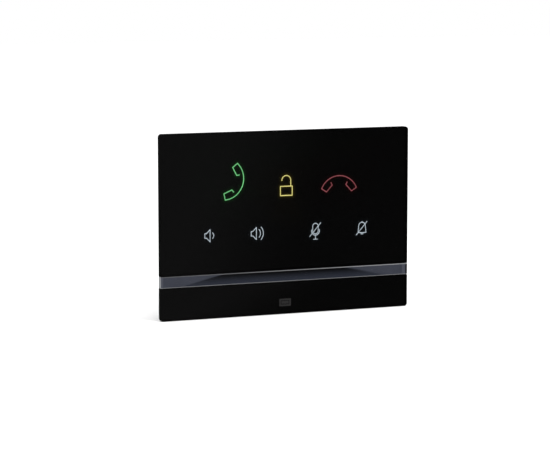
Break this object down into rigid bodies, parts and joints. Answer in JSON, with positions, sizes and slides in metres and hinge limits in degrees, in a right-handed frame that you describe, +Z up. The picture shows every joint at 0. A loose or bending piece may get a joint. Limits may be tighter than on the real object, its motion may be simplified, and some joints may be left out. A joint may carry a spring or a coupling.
{
  "type": "wall intercom answering unit",
  "caption": "Flat black glass intercom answering panel with lit touch symbols and a smoked light bar, hung on a steel wall bracket.",
  "frame": {"origin": "centre of the wall bracket's back face, level with the middle of the glass front's height", "axes": "+X to the right across the front, +Y into the wall (the glass faces -Y), +Z up"},
  "size_m": [0.168, 0.028, 0.116],
  "materials": {
    "black_glass": "polished black-tinted glass with a ground edge",
    "smoked_acrylic": "polished smoked acrylic",
    "reflector_grey": "satin grey plastic",
    "mask_black": "opaque black film",
    "badge_grey": "satin dark grey plastic",
    "tape_white": "foam bonding tape",
    "light_green": "lit translucent plastic",
    "light_yellow": "lit translucent plastic",
    "light_red": "lit translucent plastic",
    "light_white": "lit translucent plastic",
    "board_green": "solder-masked circuit board",
    "connector_cream": "moulded connector plastic",
    "cable_film": "polyester film cable",
    "white_plastic": "matt white moulding",
    "lamp_clear": "lamp lens",
    "frame_black": "fine satin black moulding",
    "housing_black": "fine eroded black moulding",
    "screw_steel": "zinc plated steel",
    "label_silver": "blank polyester label",
    "shield_metal": "tinned sheet metal",
    "part_black": "moulded electronic part",
    "capacitor_can": "anodised can",
    "contact_gold": "gold-plated spring contacts",
    "terminal_green": "moulded terminal plastic",
    "button_orange": "moulded push button",
    "button_red": "moulded push button",
    "speaker_metal": "black pressed steel",
    "magnet_grey": "plated magnet cup",
    "rubber_black": "soft rubber or foam",
    "cone_paper": "moulded film cone",
    "coil_copper": "enamelled copper winding",
    "lead_red": "insulated wire",
    "bracket_steel": "zinc plated sheet steel"
  },
  "bodies": {
    "wall_bracket": {"wall_bracket": "bracket_steel"},
    "unit": {"upper_glass": "black_glass", "lower_glass": "black_glass", "light_bar": "smoked_acrylic", "bar_reflector": "reflector_grey", "bar_led_board": "board_green", "upper_mask": "mask_black", "lower_mask": "mask_black", "badge_plate": "badge_grey", "glass_adhesive": "tape_white", "answer_diffuser": "light_green", "unlock_diffuser": "light_yellow", "hang_up_diffuser": "light_red", "volume_down_diffuser": "light_white", "volume_up_diffuser": "light_white", "mute_microphone_diffuser": "light_white", "mute_ringer_diffuser": "light_white", "touch_board": "board_green", "touch_connector": "connector_cream", "ribbon_cable": "cable_film", "light_box": "white_plastic", "led_board": "board_green", "icon_leds": "lamp_clear", "led_connector": "part_black", "front_frame": "frame_black", "rear_housing": "housing_black", "frame_screws": "screw_steel", "rating_label": "label_silver", "main_board": "board_green", "board_screws": "screw_steel", "main_connector": "connector_cream", "processor_shield": "shield_metal", "network_transformer": "part_black", "capacitors": "capacitor_can", "network_jack": "shield_metal", "jack_contacts": "contact_gold", "terminal_block": "terminal_green", "reset_switch": "part_black", "speaker_basket": "speaker_metal", "speaker_magnet": "magnet_grey", "speaker_gasket": "rubber_black", "speaker_surround": "rubber_black", "speaker_leads": "lead_red", "microphone": "shield_metal", "microphone_boot": "rubber_black"},
    "lock_screw": {"lock_screw": "screw_steel"},
    "reset_button": {"reset_button": "button_red"},
    "speaker_cone": {"speaker_cone": "cone_paper", "voice_coil": "coil_copper"},
    "terminal_button_1": {"terminal_button_1": "button_orange"},
    "terminal_button_2": {"terminal_button_2": "button_orange"},
    "terminal_button_3": {"terminal_button_3": "button_orange"},
    "terminal_button_4": {"terminal_button_4": "button_orange"}
  },
  "joints": [
    {"name": "lift_off_hooks", "type": "slide", "parent": "wall_bracket", "child": "unit", "axis": [0, 0, 1], "range_m": [0, 0.007]},
    {"name": "lock_screw_out", "type": "slide", "parent": "unit", "child": "lock_screw", "axis": [0, 0, -1], "range_m": [0, 0.006]},
    {"name": "reset_press", "type": "slide", "parent": "unit", "child": "reset_button", "axis": [0, -1, 0], "range_m": [0, 0.0003], "stiffness_N_per_m": 4000, "springref_m": -0.0002},
    {"name": "cone_travel", "type": "slide", "parent": "unit", "child": "speaker_cone", "axis": [0, -1, 0], "range_m": [-0.0004, 0.0004], "stiffness_N_per_m": 900},
    {"name": "terminal_press_1", "type": "slide", "parent": "unit", "child": "terminal_button_1", "axis": [0, -1, 0], "range_m": [0, 0.001], "stiffness_N_per_m": 2500, "springref_m": -0.0004},
    {"name": "terminal_press_2", "type": "slide", "parent": "unit", "child": "terminal_button_2", "axis": [0, -1, 0], "range_m": [0, 0.001], "stiffness_N_per_m": 2500, "springref_m": -0.0004},
    {"name": "terminal_press_3", "type": "slide", "parent": "unit", "child": "terminal_button_3", "axis": [0, -1, 0], "range_m": [0, 0.001], "stiffness_N_per_m": 2500, "springref_m": -0.0004},
    {"name": "terminal_press_4", "type": "slide", "parent": "unit", "child": "terminal_button_4", "axis": [0, -1, 0], "range_m": [0, 0.001], "stiffness_N_per_m": 2500, "springref_m": -0.0004}
  ]
}
